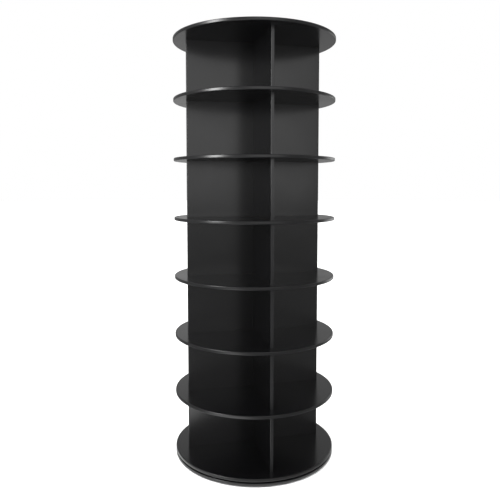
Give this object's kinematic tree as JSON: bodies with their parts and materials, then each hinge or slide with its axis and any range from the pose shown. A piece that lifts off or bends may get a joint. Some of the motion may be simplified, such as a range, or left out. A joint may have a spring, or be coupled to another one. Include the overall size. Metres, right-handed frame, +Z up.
{
  "type": "rotating shoe tower",
  "caption": "Round rotating shoe tower: equal tiers of black boards parted by crossed upright panels, turning on a ring bearing in a static round base.",
  "frame": {"origin": "on the floor, on the turning axis", "axes": "+Z up along the turning axis; the long panels lie along X and the front panels point along -Y"},
  "size_m": [0.5, 0.5, 1.292],
  "materials": {
    "black_board": "black melamine-faced board with a satin gloss and black edge banding",
    "foot_felt": "dense dark felt",
    "zinc_steel": "bright zinc plating",
    "bearing_ring": "turned, satin",
    "bearing_cage": "moulded natural nylon"
  },
  "bodies": {
    "base": {"base_board": "black_board", "base_foot_1": "foot_felt", "base_foot_2": "foot_felt", "base_foot_3": "foot_felt", "base_foot_4": "foot_felt", "base_foot_5": "foot_felt", "base_foot_6": "foot_felt", "bearing_outer_ring": "bearing_ring"},
    "ball_cage": {"bearing_ball_cage": "bearing_cage"},
    "tower": {"bearing_inner_ring": "bearing_ring", "bottom_board": "black_board", "shelf_board_1": "black_board", "shelf_board_2": "black_board", "shelf_board_3": "black_board", "shelf_board_4": "black_board", "shelf_board_5": "black_board", "shelf_board_6": "black_board", "top_board": "black_board", "long_panel_1": "black_board", "front_panel_1": "black_board", "rear_panel_1": "black_board", "long_panel_2": "black_board", "front_panel_2": "black_board", "rear_panel_2": "black_board", "long_panel_3": "black_board", "front_panel_3": "black_board", "rear_panel_3": "black_board", "long_panel_4": "black_board", "front_panel_4": "black_board", "rear_panel_4": "black_board", "long_panel_5": "black_board", "front_panel_5": "black_board", "rear_panel_5": "black_board", "long_panel_6": "black_board", "front_panel_6": "black_board", "rear_panel_6": "black_board", "long_panel_7": "black_board", "front_panel_7": "black_board", "rear_panel_7": "black_board", "joining_bolt_0_left": "zinc_steel", "joining_bolt_0_right": "zinc_steel", "joining_bolt_1_left": "zinc_steel", "joining_bolt_1_right": "zinc_steel", "joining_bolt_2_left": "zinc_steel", "joining_bolt_2_right": "zinc_steel", "joining_bolt_3_left": "zinc_steel", "joining_bolt_3_right": "zinc_steel", "joining_bolt_4_left": "zinc_steel", "joining_bolt_4_right": "zinc_steel", "joining_bolt_5_left": "zinc_steel", "joining_bolt_5_right": "zinc_steel", "joining_bolt_6_left": "zinc_steel", "joining_bolt_6_right": "zinc_steel", "joining_bolt_7_left": "zinc_steel", "joining_bolt_7_right": "zinc_steel"}
  },
  "joints": [
    {"name": "tower_spin", "type": "hinge", "parent": "base", "child": "tower", "pos_m": [0, 0, 0], "axis": [0, 0, 1], "continuous": true},
    {"name": "ball_cage_spin", "type": "hinge", "parent": "base", "child": "ball_cage", "pos_m": [0, 0, 0], "axis": [0, 0, 1], "continuous": true}
  ],
  "couplings": [
    {"joint": "ball_cage_spin", "follows": "tower_spin", "ratio": 0.495}
  ]
}
